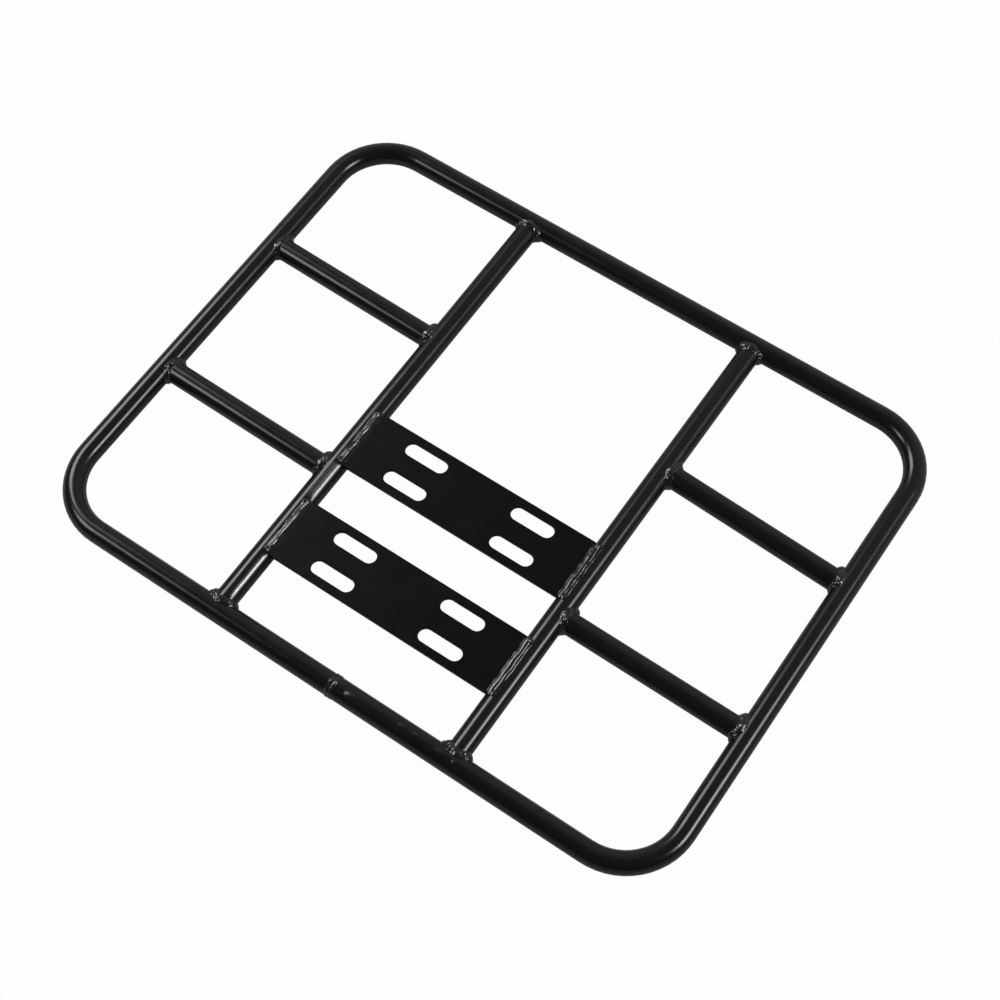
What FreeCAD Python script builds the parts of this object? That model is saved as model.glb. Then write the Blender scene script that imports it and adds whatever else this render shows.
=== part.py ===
import FreeCAD, Part
import math
import os
import Sketcher

# Welded tube rack that carries a delivery box behind a motorcycle seat.
# X runs along the front side, Y from the front side to the rear side, Z up.
# The origin is under the middle of the rack, on the surface that it rests on.
# Every tube centre line lies in one level plane, at AXIS_HEIGHT.

SIZES = {
    "tube_diameter": 16.0,
    "tube_wall": 1.2,
    # outer ring, measured between tube centre lines
    "ring_length": 480.0,
    "ring_width": 372.6,
    "ring_bend_radius": 44.0,
    # butt joint that closes the ring, in the front side
    "butt_joint_offset": 2.0,
    "butt_joint_gap": 0.4,
    "butt_bead_width": 6.0,
    "butt_bead_rise": 0.9,
    # the two long rails
    "rail_spacing": 187.8,
    # short bars: distance of the bar's middle from the rack's middle line,
    # and how much further back its right end lies than its left end
    "left_rear_bar_place": 65.4,
    "left_rear_bar_skew": -3.1,
    "right_rear_bar_place": 63.2,
    "right_rear_bar_skew": -6.4,
    "left_front_bar_place": 60.0,
    "left_front_bar_skew": -2.1,
    "right_front_bar_place": 64.6,
    "right_front_bar_skew": -1.3,
    # slotted plates
    "plate_width": 48.0,
    "plate_thickness": 3.0,
    "plate_drop": 1.0,
    "front_plate_inset": 73.0,
    "plate_pitch": 81.7,
    "slot_length": 33.4,
    "slot_width": 10.6,
    "slot_pitch_across": 87.0,
    "slot_pitch_along": 25.4,
    "plate_edge_radius": 0.4,
    # fillet welds of the tube joints
    "bead_leg_on_run": 4.2,
    "bead_leg_on_branch": 4.0,
    "bead_crown_toe": 1.6,
    "bead_crown_leg": 4.4,
    "bead_rise": 0.35,
    "bead_bulge": 0.25,
    "bead_crown_bulge": 0.55,
    "bead_root_depth": 2.0,
    # welds along the plate ends
    "plate_bead_inset": 3.0,
    "plate_bead_tube_toe": 1.1,
    "plate_bead_plate_toe": 0.9,
    "plate_bead_bulge": 0.6,
}

TUBE_RADIUS = "sizes.tube_diameter / 2"
BORE_RADIUS = "(sizes.tube_diameter / 2 - sizes.tube_wall)"
HALF_LENGTH = "sizes.ring_length / 2"
HALF_WIDTH = "sizes.ring_width / 2"
AXIS_HEIGHT = "(sizes.tube_diameter / 2 + sizes.bead_rise)"
# A coped tube end stops where the run tube's surface passes under its bore.
TIP_TRIM = "sqrt((sizes.tube_diameter / 2)^2 - " + BORE_RADIUS + "^2)"
PLATE_TOP = "(sizes.tube_diameter / 2 - sizes.plate_drop)"
PLATE_BOTTOM = "(" + PLATE_TOP + " - sizes.plate_thickness)"
# The plate's lower end edges seat on the rails' inner shoulders.
PLATE_SEAT = "sqrt((sizes.tube_diameter / 2)^2 - " + PLATE_BOTTOM + "^2)"
PLATE_LENGTH = "(sizes.rail_spacing - 2 * " + PLATE_SEAT + ")"

BEAD_SECTIONS = 16
# How far a bead's outer curve runs on into the tubes, as a share of half its width.
BEAD_RUN_ON = 0.3

doc = FreeCAD.newDocument("box_rack")
sheet = doc.addObject("Spreadsheet::Sheet", "sizes")
nodes = []


def fill_sheet():
    """Write each driving size in a row of its own: name, value."""
    for row, (name, value) in enumerate(SIZES.items(), start=1):
        sheet.set(f"A{row}", name)
        sheet.set(f"B{row}", str(value))
        sheet.setAlias(f"B{row}", name)
    doc.recompute()


def size(name):
    """A driving size, read back from the sheet."""
    return float(sheet.get(name))


def value_of(expression):
    """The number that an expression on the sheet gives."""
    return float(sheet.evalExpression(expression))


def new_body(name):
    """A body for one piece, raised so that the tube centre lines lie at AXIS_HEIGHT."""
    body = doc.addObject("PartDesign::Body", name)
    body.Label = name
    body.setExpression(".Placement.Base.z", AXIS_HEIGHT)
    nodes.append(body)
    return body


def new_sketch(body, name, plane):
    """A sketch on one of the body's own origin planes."""
    planes = {feature.Role: feature for feature in body.Origin.OriginFeatures}
    sketch = body.newObject("Sketcher::SketchObject", name)
    sketch.AttachmentSupport = [(planes[plane], "")]
    sketch.MapMode = "FlatFace"
    return sketch


def bound(sketch, kind, *arguments, to):
    """Add a sketch constraint and bind its value to an expression."""
    number = sketch.addConstraint(Sketcher.Constraint(kind, *arguments, value_of(to)))
    sketch.setExpression(f"Constraints[{number}]", to)


def add_circle(sketch, radius):
    """A circle round the sketch's origin."""
    up = FreeCAD.Vector(0, 0, 1)
    circle = sketch.addGeometry(Part.Circle(FreeCAD.Vector(0, 0, 0), up, value_of(radius)))
    bound(sketch, "Radius", circle, to=radius)
    sketch.addConstraint(Sketcher.Constraint("Coincident", circle, 3, -1, 1))


def add_tube_section(sketch):
    """The tube's wall between its outside and its bore."""
    add_circle(sketch, TUBE_RADIUS)
    add_circle(sketch, BORE_RADIUS)


def add_ring_path(sketch):
    """The ring's centre line, from one side of the butt joint round to the other."""
    length = value_of(HALF_LENGTH)
    width = value_of(HALF_WIDTH)
    bend = size("ring_bend_radius")
    right_end = "sizes.butt_joint_offset + sizes.butt_joint_gap / 2"
    left_end = "sizes.butt_joint_offset - sizes.butt_joint_gap / 2"
    corners = [(length, -width), (length, width), (-length, width), (-length, -width)]
    starts = [
        (value_of(right_end), -width),
        (length, -width + bend),
        (length - bend, width),
        (-length, width - bend),
        (-length + bend, -width),
    ]
    ends = [
        (length - bend, -width),
        (length, width - bend),
        (-length + bend, width),
        (-length, -width + bend),
        (value_of(left_end), -width),
    ]
    lines = []
    for start, end in zip(starts, ends):
        line = Part.LineSegment(FreeCAD.Vector(*start, 0), FreeCAD.Vector(*end, 0))
        lines.append(sketch.addGeometry(line))
    arcs = []
    for turn, corner in enumerate(corners):
        inward_x = -math.copysign(bend, corner[0])
        inward_y = -math.copysign(bend, corner[1])
        centre = FreeCAD.Vector(corner[0] + inward_x, corner[1] + inward_y, 0)
        circle = Part.Circle(centre, FreeCAD.Vector(0, 0, 1), bend)
        first = math.radians(-90 + 90 * turn)
        arcs.append(sketch.addGeometry(Part.ArcOfCircle(circle, first, first + math.pi / 2)))
    for turn, arc in enumerate(arcs):
        sketch.addConstraint(Sketcher.Constraint("Tangent", lines[turn], 2, arc, 1))
        sketch.addConstraint(Sketcher.Constraint("Tangent", arc, 2, lines[turn + 1], 1))
    for side in (0, 2, 4):
        sketch.addConstraint(Sketcher.Constraint("Horizontal", lines[side]))
    for side in (1, 3):
        sketch.addConstraint(Sketcher.Constraint("Vertical", lines[side]))
    bound(sketch, "Radius", arcs[0], to="sizes.ring_bend_radius")
    for arc in arcs[1:]:
        sketch.addConstraint(Sketcher.Constraint("Equal", arcs[0], arc))
    bound(sketch, "DistanceY", lines[0], 1, -1, 1, to=HALF_WIDTH)
    bound(sketch, "DistanceX", -1, 1, lines[1], 1, to=HALF_LENGTH)
    bound(sketch, "DistanceY", -1, 1, lines[2], 1, to=HALF_WIDTH)
    bound(sketch, "DistanceX", lines[3], 1, -1, 1, to=HALF_LENGTH)
    bound(sketch, "DistanceY", lines[4], 2, -1, 1, to=HALF_WIDTH)
    bound(sketch, "DistanceX", lines[3], 1, lines[0], 1, to=HALF_LENGTH + " + " + right_end)
    bound(sketch, "DistanceX", lines[3], 1, lines[4], 2, to=HALF_LENGTH + " + " + left_end)
    return len(lines) + len(arcs)


def make_outer_ring():
    """One tube bent at four corners; its ends meet in the front side."""
    body = new_body("outer_ring")
    path = new_sketch(body, "ring_path", "XY_Plane")
    edge_count = add_ring_path(path)
    section = new_sketch(body, "ring_section", "YZ_Plane")
    section.setExpression(".AttachmentOffset.Base.x", "-" + HALF_WIDTH)
    section.setExpression(
        ".AttachmentOffset.Base.z", "sizes.butt_joint_offset + sizes.butt_joint_gap / 2"
    )
    add_tube_section(section)
    doc.recompute()
    ring = body.newObject("PartDesign::AdditivePipe", "ring_tube")
    ring.Profile = section
    ring.Spine = (path, [f"Edge{number}" for number in range(1, edge_count + 1)])
    ring.Transition = "Transformed"
    body.Tip = ring


def make_butt_weld():
    """The raised bead round the tube where the ring is closed."""
    body = new_body("ring_butt_weld")
    sketch = new_sketch(body, "bead_profile", "XZ_Plane")
    sketch.setExpression(".AttachmentOffset.Base.x", "sizes.butt_joint_offset")
    sketch.setExpression(".AttachmentOffset.Base.z", HALF_WIDTH)
    radius = value_of(TUBE_RADIUS)
    half = size("butt_bead_width") / 2
    left = FreeCAD.Vector(-half, radius, 0)
    right = FreeCAD.Vector(half, radius, 0)
    crest = FreeCAD.Vector(0, radius + size("butt_bead_rise"), 0)
    base = sketch.addGeometry(Part.LineSegment(left, right))
    arc = sketch.addGeometry(Part.Arc(right, crest, left))
    top = sketch.addGeometry(Part.Point(crest))
    sketch.toggleConstruction(top)
    sketch.addConstraint(Sketcher.Constraint("Coincident", base, 2, arc, 1))
    sketch.addConstraint(Sketcher.Constraint("Coincident", base, 1, arc, 2))
    sketch.addConstraint(Sketcher.Constraint("Symmetric", base, 1, base, 2, -2))
    bound(sketch, "DistanceY", -1, 1, base, 1, to=TUBE_RADIUS)
    bound(sketch, "DistanceX", base, 1, base, 2, to="sizes.butt_bead_width")
    sketch.addConstraint(Sketcher.Constraint("PointOnObject", top, 1, arc))
    sketch.addConstraint(Sketcher.Constraint("PointOnObject", top, 1, -2))
    bound(sketch, "DistanceY", base, 1, top, 1, to="sizes.butt_bead_rise")
    bead = body.newObject("PartDesign::Revolution", "bead_collar")
    bead.Profile = sketch
    bead.ReferenceAxis = (sketch, ["H_Axis"])
    bead.Angle = 360
    doc.recompute()
    # The underside is dressed level with the tube joints, so that the rack stands flat.
    dressing = new_sketch(body, "dressing_area", "XY_Plane")
    dressing.setExpression(".AttachmentOffset.Base.z", "-" + AXIS_HEIGHT)
    dressing.setExpression(".AttachmentOffset.Base.y", "-" + HALF_WIDTH)
    dressing.setExpression(".AttachmentOffset.Base.x", "sizes.butt_joint_offset")
    add_circle(dressing, "sizes.tube_diameter")
    dressed = body.newObject("PartDesign::Pocket", "dressed_underside")
    dressed.Profile = dressing
    dressed.Type = "ThroughAll"
    dressed.Reversed = False
    body.Tip = dressed


def add_cope(body, name, along, skew):
    """Cut the tube end to the run tube that crosses it at a distance along the body's X."""
    sketch = new_sketch(body, name + "_circle", "XZ_Plane")
    sketch.AttachmentOffset = FreeCAD.Placement(
        FreeCAD.Vector(0, 0, 0), FreeCAD.Rotation(FreeCAD.Vector(0, 1, 0), 1)
    )
    sketch.setExpression(".AttachmentOffset.Base.x", along)
    sketch.setExpression(".AttachmentOffset.Rotation.Angle", f"-({skew})")
    add_circle(sketch, TUBE_RADIUS)
    cope = body.newObject("PartDesign::Pocket", name)
    cope.Profile = sketch
    cope.Type = "ThroughAll"
    cope.SideType = "Symmetric"
    body.Tip = cope


def make_branch_tube(name, ends, start, length, heading, skew):
    """A tube that is coped to a run tube at each end, from start along its heading."""
    body = new_body(name)
    body.setExpression(".Placement.Base.x", start[0])
    body.setExpression(".Placement.Base.y", start[1])
    body.setExpression(".Placement.Rotation.Angle", heading)
    section = new_sketch(body, name + "_section", "YZ_Plane")
    section.setExpression(".AttachmentOffset.Base.z", TIP_TRIM)
    add_tube_section(section)
    tube = body.newObject("PartDesign::Pad", name + "_tube")
    tube.Profile = section
    tube.setExpression("Length", f"{length} - 2 * {TIP_TRIM}")
    doc.recompute()
    add_cope(body, name + "_start_cope", "0", skew)
    add_cope(body, name + "_end_cope", length, skew)
    joints.append((f"{name}_{ends[0]}_weld", start, heading, skew))
    turned = f"{heading} + 180 deg"
    far_x = f"{start[0]} + ({length}) * cos({heading})"
    far_y = f"{start[1]} + ({length}) * sin({heading})"
    joints.append((f"{name}_{ends[1]}_weld", (far_x, far_y), turned, skew))


def make_rail(side, sign):
    """A long rail from the front side of the ring to its rear side."""
    start = (f"{sign} * sizes.rail_spacing / 2", "-" + HALF_WIDTH)
    ends = ("front", "rear")
    make_branch_tube(side + "_rail", ends, start, "sizes.ring_width", "90 deg", "0 deg")


def make_bar(side, end, sign):
    """A short bar between a rail and the ring, left or right, in the rear or front half."""
    name = f"{side}_{end}_bar"
    middle = f"{sign} * sizes.{name}_place"
    rise = f"sizes.{name}_skew"
    left_x = "-" + HALF_LENGTH if side == "left" else "sizes.rail_spacing / 2"
    ends = ("outer", "inner") if side == "left" else ("inner", "outer")
    span = f"({HALF_LENGTH} - sizes.rail_spacing / 2)"
    length = f"sqrt({span}^2 + ({rise})^2)"
    skew = f"atan({rise} / {span})"
    make_branch_tube(name, ends, (left_x, f"{middle} - {rise} / 2"), length, skew, skew)


def add_slot(sketch, across, along):
    """A slot in the plate's sketch, long in X, centred on two signed half pitches."""
    half_straight = (size("slot_length") - size("slot_width")) / 2
    radius = size("slot_width") / 2
    centre_x = across * size("slot_pitch_across") / 2
    centre_y = along * size("slot_pitch_along") / 2
    ends = []
    for sign in (1, -1):
        centre = FreeCAD.Vector(centre_x + sign * half_straight, centre_y, 0)
        circle = Part.Circle(centre, FreeCAD.Vector(0, 0, 1), radius)
        first = -sign * math.pi / 2
        ends.append(sketch.addGeometry(Part.ArcOfCircle(circle, first, first + math.pi)))
    right, left = ends
    sides = []
    for sign in (1, -1):
        near = FreeCAD.Vector(centre_x + sign * half_straight, centre_y + sign * radius, 0)
        far = FreeCAD.Vector(centre_x - sign * half_straight, centre_y + sign * radius, 0)
        sides.append(sketch.addGeometry(Part.LineSegment(near, far)))
    upper, lower = sides
    sketch.addConstraint(Sketcher.Constraint("Tangent", right, 2, upper, 1))
    sketch.addConstraint(Sketcher.Constraint("Tangent", upper, 2, left, 1))
    sketch.addConstraint(Sketcher.Constraint("Tangent", left, 2, lower, 1))
    sketch.addConstraint(Sketcher.Constraint("Tangent", lower, 2, right, 1))
    sketch.addConstraint(Sketcher.Constraint("Horizontal", upper))
    sketch.addConstraint(Sketcher.Constraint("Equal", right, left))
    bound(sketch, "Radius", right, to="sizes.slot_width / 2")
    straight = "sizes.slot_length - sizes.slot_width"
    bound(sketch, "DistanceX", left, 3, right, 3, to=straight)
    half_pitch = "sizes.slot_pitch_across / 2"
    if across > 0:
        bound(sketch, "DistanceX", -1, 1, right, 3, to=f"{half_pitch} + ({straight}) / 2")
    else:
        bound(sketch, "DistanceX", left, 3, -1, 1, to=f"{half_pitch} + ({straight}) / 2")
    if along > 0:
        bound(sketch, "DistanceY", -1, 1, right, 3, to="sizes.slot_pitch_along / 2")
    else:
        bound(sketch, "DistanceY", right, 3, -1, 1, to="sizes.slot_pitch_along / 2")


def add_plate_outline(sketch):
    """The plate's rectangle, centred on the sketch's origin."""
    half_x = value_of(PLATE_LENGTH) / 2
    half_y = size("plate_width") / 2
    corners = [(-half_x, -half_y), (half_x, -half_y), (half_x, half_y), (-half_x, half_y)]
    sides = []
    for number, corner in enumerate(corners):
        following = corners[(number + 1) % 4]
        line = Part.LineSegment(FreeCAD.Vector(*corner, 0), FreeCAD.Vector(*following, 0))
        sides.append(sketch.addGeometry(line))
    for number, side in enumerate(sides):
        following = sides[(number + 1) % 4]
        sketch.addConstraint(Sketcher.Constraint("Coincident", side, 2, following, 1))
        direction = "Vertical" if number % 2 else "Horizontal"
        sketch.addConstraint(Sketcher.Constraint(direction, side))
    sketch.addConstraint(Sketcher.Constraint("Symmetric", sides[0], 1, sides[1], 2, -1, 1))
    bound(sketch, "DistanceX", sides[0], 1, sides[0], 2, to=PLATE_LENGTH)
    bound(sketch, "DistanceY", sides[1], 1, sides[1], 2, to="sizes.plate_width")


def rounded_edges(shape, seat_x):
    """Names of the plate's edges that are rounded: all but those of its seated ends."""
    names = []
    for number, edge in enumerate(shape.Edges, start=1):
        upright = edge.BoundBox.ZLength > Part.Precision.confusion()
        on_end = edge.BoundBox.XLength < Part.Precision.confusion()
        at_end = abs(abs(edge.BoundBox.XMax) - seat_x) < Part.Precision.confusion()
        if not upright and not (on_end and at_end):
            names.append(f"Edge{number}")
    return names


def make_plate(name, place):
    """A flat steel plate with four slots, seated between the two rails."""
    body = new_body(name)
    body.setExpression(".Placement.Base.y", place)
    outline = new_sketch(body, name + "_outline", "XY_Plane")
    outline.setExpression(".AttachmentOffset.Base.z", PLATE_BOTTOM)
    add_plate_outline(outline)
    blank = body.newObject("PartDesign::Pad", name + "_blank")
    blank.Profile = outline
    blank.setExpression("Length", "sizes.plate_thickness")
    doc.recompute()
    slots = new_sketch(body, name + "_slots", "XY_Plane")
    slots.setExpression(".AttachmentOffset.Base.z", PLATE_TOP)
    for across in (-1, 1):
        for along in (-1, 1):
            add_slot(slots, across, along)
    punched = body.newObject("PartDesign::Pocket", name + "_punched")
    punched.Profile = slots
    punched.Type = "ThroughAll"
    doc.recompute()
    edges = rounded_edges(punched.Shape, value_of(PLATE_LENGTH) / 2)
    rounded = body.newObject("PartDesign::Fillet", name + "_rounded")
    rounded.Base = (punched, edges)
    rounded.setExpression("Radius", "sizes.plate_edge_radius")
    body.Tip = rounded


def solid_tube(start, direction, length):
    """A tube with its bore filled: the space that no weld metal can take."""
    return Part.makeCylinder(value_of(TUBE_RADIUS), length, start, direction)


def curve_with_ends_sunk(points):
    """A smooth edge through three points, run on past both ends into the tubes."""
    first, middle, last = points
    before = first + (first - middle) * BEAD_RUN_ON
    after = last + (last - middle) * BEAD_RUN_ON
    curve = Part.BSplineCurve()
    curve.interpolate([before, first, middle, last, after])
    return curve.toShape(), before, after


def tee_bead_section(turn, skew):
    """A closed section across the weld, at an angle turn round the branch tube."""
    radius = value_of(TUBE_RADIUS)
    trim = value_of(TIP_TRIM)
    sideways = math.cos(turn)
    upwards = math.sin(turn)
    # toe on the run tube: an ellipse wrapped on the tube's surface
    toe_across = radius + size("bead_leg_on_run")
    toe_crown_angle = math.acos((trim - size("bead_crown_toe")) / radius)
    wrap = toe_crown_angle * upwards
    on_run = FreeCAD.Vector(
        radius * math.cos(wrap), toe_across * sideways, radius * math.sin(wrap)
    )
    on_run = FreeCAD.Rotation(FreeCAD.Vector(0, 0, 1), -skew).multVec(on_run)
    # toe on the branch tube, further out at the sides than on the crown
    crown_x = trim + size("bead_crown_leg")
    side_x = radius + size("bead_leg_on_branch")
    toe_x = crown_x + (side_x - crown_x) * sideways**2
    toe_x += radius * sideways * math.tan(math.radians(skew))
    on_branch = FreeCAD.Vector(toe_x, radius * sideways, radius * upwards)
    run_normal = FreeCAD.Vector(math.cos(wrap), 0, math.sin(wrap))
    branch_normal = FreeCAD.Vector(0, sideways, upwards)
    outward = (run_normal + branch_normal).normalize()
    side_bulge = size("bead_bulge")
    bulge = side_bulge + (size("bead_crown_bulge") - side_bulge) * upwards**2
    middle = (on_run + on_branch) * 0.5 + outward * bulge
    outer_edge, before, after = curve_with_ends_sunk((on_run, middle, on_branch))
    depth = radius - size("bead_root_depth")
    root = FreeCAD.Vector(depth, depth * sideways, depth * upwards)
    closing = [Part.makeLine(after, root), Part.makeLine(root, before)]
    return Part.Wire([outer_edge] + closing)


def make_tee_weld(name, start, heading, skew):
    """The fillet weld all round a tube joint, from its root out to both tubes."""
    radius = value_of(TUBE_RADIUS)
    trim = value_of(TIP_TRIM)
    skew_angle = value_of(skew)
    sections = []
    for number in range(BEAD_SECTIONS):
        turn = 2 * math.pi * number / BEAD_SECTIONS
        sections.append(tee_bead_section(turn, skew_angle))
    bead = Part.makeLoft(sections, True, False, True)
    if not isinstance(bead, Part.Solid):
        bead = bead.Solids[0]
    reach = 2 * size("tube_diameter")
    run_axis = FreeCAD.Rotation(FreeCAD.Vector(0, 0, 1), -skew_angle).multVec(
        FreeCAD.Vector(0, 1, 0)
    )
    run = solid_tube(run_axis * -reach, run_axis, 2 * reach)
    branch = solid_tube(FreeCAD.Vector(trim, 0, 0), FreeCAD.Vector(1, 0, 0), reach)
    crest = radius + size("bead_rise")
    level = Part.makeBox(
        2 * reach, 2 * reach, 2 * crest, FreeCAD.Vector(-reach, -reach, -crest)
    )
    weld = bead.cut([run, branch]).common(level)
    add_weld(name, weld, (value_of(start[0]), value_of(start[1])), value_of(heading))


def add_weld(name, shape, place, heading):
    """A weld bead as a piece of its own, set at a place on the centre plane."""
    weld = doc.addObject("Part::Feature", name)
    weld.Label = name
    weld.Shape = shape.Solids[0] if len(shape.Solids) == 1 else shape
    turn = FreeCAD.Rotation(FreeCAD.Vector(0, 0, 1), heading)
    weld.Placement = FreeCAD.Placement(FreeCAD.Vector(*place, 0), turn)
    weld.setExpression(".Placement.Base.z", AXIS_HEIGHT)
    nodes.append(weld)


def make_plate_weld(name, side, place):
    """The weld along one end of a plate, in the groove between it and the rail."""
    radius = value_of(TUBE_RADIUS)
    top = value_of(PLATE_TOP)
    bottom = value_of(PLATE_BOTTOM)
    seat = value_of(PLATE_SEAT)
    length = size("plate_width") - 2 * size("plate_bead_inset")
    tube_toe_x = math.sqrt(radius**2 - top**2) - size("plate_bead_tube_toe")
    on_tube = FreeCAD.Vector(tube_toe_x, 0, math.sqrt(radius**2 - tube_toe_x**2))
    on_plate = FreeCAD.Vector(seat + size("plate_bead_plate_toe"), 0, top)
    middle = (on_tube + on_plate) * 0.5 + FreeCAD.Vector(0, 0, size("plate_bead_bulge"))
    outer_edge, before, after = curve_with_ends_sunk((on_tube, middle, on_plate))
    root = FreeCAD.Vector(seat, 0, bottom)
    closing = [Part.makeLine(after, root), Part.makeLine(root, before)]
    profile = Part.Face(Part.Wire([outer_edge] + closing))
    bead = profile.extrude(FreeCAD.Vector(0, length, 0))
    bead.translate(FreeCAD.Vector(0, -length / 2, 0))
    rail = solid_tube(FreeCAD.Vector(0, -length, 0), FreeCAD.Vector(0, 1, 0), 2 * length)
    thickness = size("plate_thickness")
    plate = Part.makeBox(
        length, 2 * length, thickness, FreeCAD.Vector(seat, -length, bottom)
    )
    weld = bead.cut([rail, plate])
    rail_x = side * size("rail_spacing") / 2
    heading = 180 if side > 0 else 0
    add_weld(name, weld, (rail_x, value_of(place)), heading)


def check_document():
    """Stop if any object failed or any piece isn't one valid solid."""
    for item in doc.Objects:
        if "Invalid" in item.State or "Error" in item.State:
            raise RuntimeError(f"{item.Label} failed: {item.State}")
    for node in nodes:
        shape = node.Shape
        if shape.isNull() or not shape.isValid() or len(shape.Solids) != 1:
            raise RuntimeError(f"{node.Label} is not one valid solid")


fill_sheet()
joints = []
make_outer_ring()
make_butt_weld()
for rail_side, rail_sign in (("left", "-1"), ("right", "1")):
    make_rail(rail_side, rail_sign)
for bar_end, bar_sign in (("rear", "1"), ("front", "-1")):
    for bar_side in ("left", "right"):
        make_bar(bar_side, bar_end, bar_sign)
FRONT_PLATE_PLACE = "(sizes.front_plate_inset - " + HALF_WIDTH + ")"
plates = {
    "front_plate": FRONT_PLATE_PLACE,
    "rear_plate": "(" + FRONT_PLATE_PLACE + " + sizes.plate_pitch)",
}
for plate_name, plate_place in plates.items():
    make_plate(plate_name, plate_place)
    make_plate_weld(plate_name + "_left_weld", -1, plate_place)
    make_plate_weld(plate_name + "_right_weld", 1, plate_place)
for joint in joints:
    make_tee_weld(*joint)
doc.recompute()
check_document()
os.makedirs("parts", exist_ok=True)
for node in nodes:
    node.Shape.exportStep(f"parts/{node.Label}.step")
    box = node.Shape.optimalBoundingBox(False, False)
    print(f"{node.Label}: {node.Shape.Volume:.1f} mm3, z {box.ZMin:.3f} to {box.ZMax:.3f}")
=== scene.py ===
# %% [markdown]
# A welded tube rack that carries a delivery box behind a motorcycle seat.
# On the real object a ring of bent steel tube goes round the outside. Two long
# rails and four short bars are welded inside it, and two slotted plates between
# the rails take the bolts of the box. Everything is painted black.
# The tubes and the plates come from the CAD model as they are, because their
# shapes are plain and exact. Only what a drawing leaves out is modelled here:
# the weld beads with their ripples, small runs in the paint, the paint itself,
# and the studio. So the first step is to load the CAD model as a fixed frame.

# %% Load the frame
import math
import random

import bmesh
import bpy
from mathutils import Matrix, Vector, noise


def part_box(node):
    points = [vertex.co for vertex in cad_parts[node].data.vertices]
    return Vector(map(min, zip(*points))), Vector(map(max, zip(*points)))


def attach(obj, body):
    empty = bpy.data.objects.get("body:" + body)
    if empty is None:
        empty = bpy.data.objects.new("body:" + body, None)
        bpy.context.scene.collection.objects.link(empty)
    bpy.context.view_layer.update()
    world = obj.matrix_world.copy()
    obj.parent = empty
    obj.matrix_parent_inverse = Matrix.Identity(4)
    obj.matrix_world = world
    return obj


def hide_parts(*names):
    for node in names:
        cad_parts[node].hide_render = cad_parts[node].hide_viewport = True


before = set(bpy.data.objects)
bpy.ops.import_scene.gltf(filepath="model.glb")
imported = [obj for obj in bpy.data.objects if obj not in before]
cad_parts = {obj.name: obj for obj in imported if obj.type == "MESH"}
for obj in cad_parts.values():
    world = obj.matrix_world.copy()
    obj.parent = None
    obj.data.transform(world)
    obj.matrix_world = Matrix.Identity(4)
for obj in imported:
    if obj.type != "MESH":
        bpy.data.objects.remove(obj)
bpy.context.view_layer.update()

print("CAD nodes:", len(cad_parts))

# %% [markdown]
# Sizes that the beads share with the tubes, in millimetres.
# A weld lies on two tubes, so its mesh needs their radius and their height above
# the floor. They could be measured on the frame's meshes, but written out they
# are easier to read, and one line sets the tube's size beside the frame's own.

# %% Shared sizes
MM = 0.001
TUBE_RADIUS = 8.0
BORE_RADIUS = 6.8
AXIS_HEIGHT = 8.35
RING_X = 240.0
RING_Y = 186.3
RAIL_X = 93.9
# Over the top of a joint, a tube's tip ends where its bore meets the other tube's surface.
TIP_TRIM = math.sqrt(TUBE_RADIUS**2 - BORE_RADIUS**2)
PLATE_TOP = 7.0
PLATE_SEAT = math.sqrt(TUBE_RADIUS**2 - 4.0**2)

ring_low, ring_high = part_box("outer_ring")
print("ring tube height, CAD against here:", ring_high.z - ring_low.z, 2 * TUBE_RADIUS * MM)

# %% [markdown]
# The camera stands where the photographer stood.
# A camera could be placed by eye, but straight tubes give their own answer: the
# edges of ten of them were set against the same edges in the picture, which
# fixes the place, the direction and the lens in one go. The rack is seen from
# its front right corner, from high above, with a longish lens.

# %% Camera
CAMERA_PLACE = (0.360105, -0.502514, 1.159985)
CAMERA_RIGHT = (0.82499400, 0.56507843, -0.00844172)
CAMERA_UP = (-0.49827634, 0.73435110, 0.46092207)
CAMERA_BACK = (0.26665630, -0.37605164, 0.88740046)
LENS = 69.057

camera_data = bpy.data.cameras.new("photo_camera")
camera_data.sensor_width = 36.0
camera_data.lens = LENS
camera_data.clip_start = 0.05
camera_data.clip_end = 200.0
camera = bpy.data.objects.new("photo_camera", camera_data)
bpy.context.scene.collection.objects.link(camera)
camera.matrix_world = Matrix((
    (CAMERA_RIGHT[0], CAMERA_UP[0], CAMERA_BACK[0], CAMERA_PLACE[0]),
    (CAMERA_RIGHT[1], CAMERA_UP[1], CAMERA_BACK[1], CAMERA_PLACE[1]),
    (CAMERA_RIGHT[2], CAMERA_UP[2], CAMERA_BACK[2], CAMERA_PLACE[2]),
    (0.0, 0.0, 0.0, 1.0),
))
bpy.context.scene.camera = camera
print("camera", [round(v, 3) for v in camera.location], "lens", LENS)

# %% [markdown]
# Small helpers for node materials.
# A material is a graph of nodes. Making one node, setting its inputs and wiring
# it takes several lines each time, so two helpers do that, and every finish
# below then reads like a short list.

# %% Node helpers
def add_node(tree, kind, **inputs):
    """A new node of a kind, with its inputs set by name or by number."""
    node = tree.nodes.new(kind)
    for name, value in inputs.items():
        key = int(name[1:]) if name[0] == "n" and name[1:].isdigit() else name.replace("_", " ")
        if isinstance(value, bpy.types.NodeSocket):
            tree.links.new(value, node.inputs[key])
        else:
            node.inputs[key].default_value = value
    return node


def add_math(tree, operation, first, second=0.0):
    """A sum or product of two sockets or numbers, as a socket."""
    node = add_node(tree, "ShaderNodeMath", n0=first, n1=second)
    node.operation = operation
    return node.outputs[0]


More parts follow.
